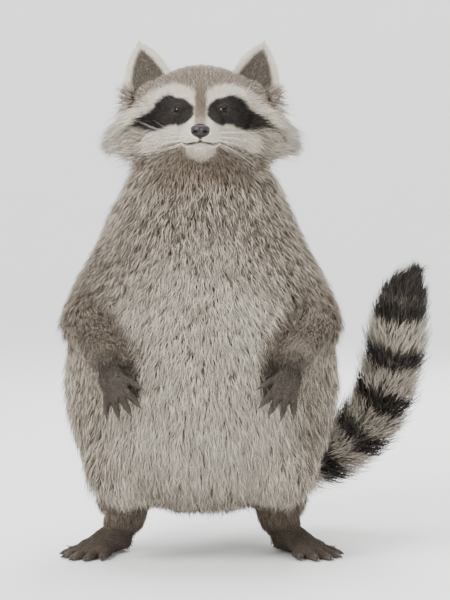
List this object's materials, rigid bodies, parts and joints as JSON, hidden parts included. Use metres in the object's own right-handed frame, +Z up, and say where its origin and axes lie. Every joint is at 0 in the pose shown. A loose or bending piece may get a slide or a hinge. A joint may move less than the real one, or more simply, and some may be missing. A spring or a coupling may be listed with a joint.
{
  "type": "raccoon",
  "caption": "Still life-size model of a plump raccoon standing upright on its hind feet, forepaws hanging before its belly and its ringed tail curled up at its left side.",
  "frame": {"origin": "centre of the bounding box on the floor the raccoon stands on", "axes": "+Z up, the raccoon faces -Y, and its left side with the tail is +X"},
  "size_m": [0.456, 0.3616, 0.6186],
  "materials": {
    "head_coat": "short grizzled fur with a black mask between pale brow and muzzle",
    "body_coat": "long grizzled grey-brown fur, paler on the belly",
    "tail_coat": "bushy fur in buff-grey and blackish rings",
    "paw": "dark skin with very short fur, and smooth horn claws",
    "eye": "wet gloss, dark brown",
    "nose_leather": "moist pebbled black skin"
  },
  "bodies": {
    "root": {"head": "head_coat", "ear_left": "head_coat", "ear_right": "head_coat", "eye_left": "eye", "eye_right": "eye", "nose": "nose_leather", "neck": "body_coat", "chest": "body_coat", "belly": "body_coat", "upper_arm_left": "body_coat", "upper_arm_right": "body_coat", "forearm_left": "body_coat", "forearm_right": "body_coat", "hand_left": "paw", "hand_right": "paw", "thigh_left": "body_coat", "thigh_right": "body_coat", "shank_left": "body_coat", "shank_right": "body_coat", "foot_left": "paw", "foot_right": "paw", "tail_base": "tail_coat", "tail_lower": "tail_coat", "tail_upper": "tail_coat", "tail_tip": "tail_coat"}
  },
  "joints": []
}
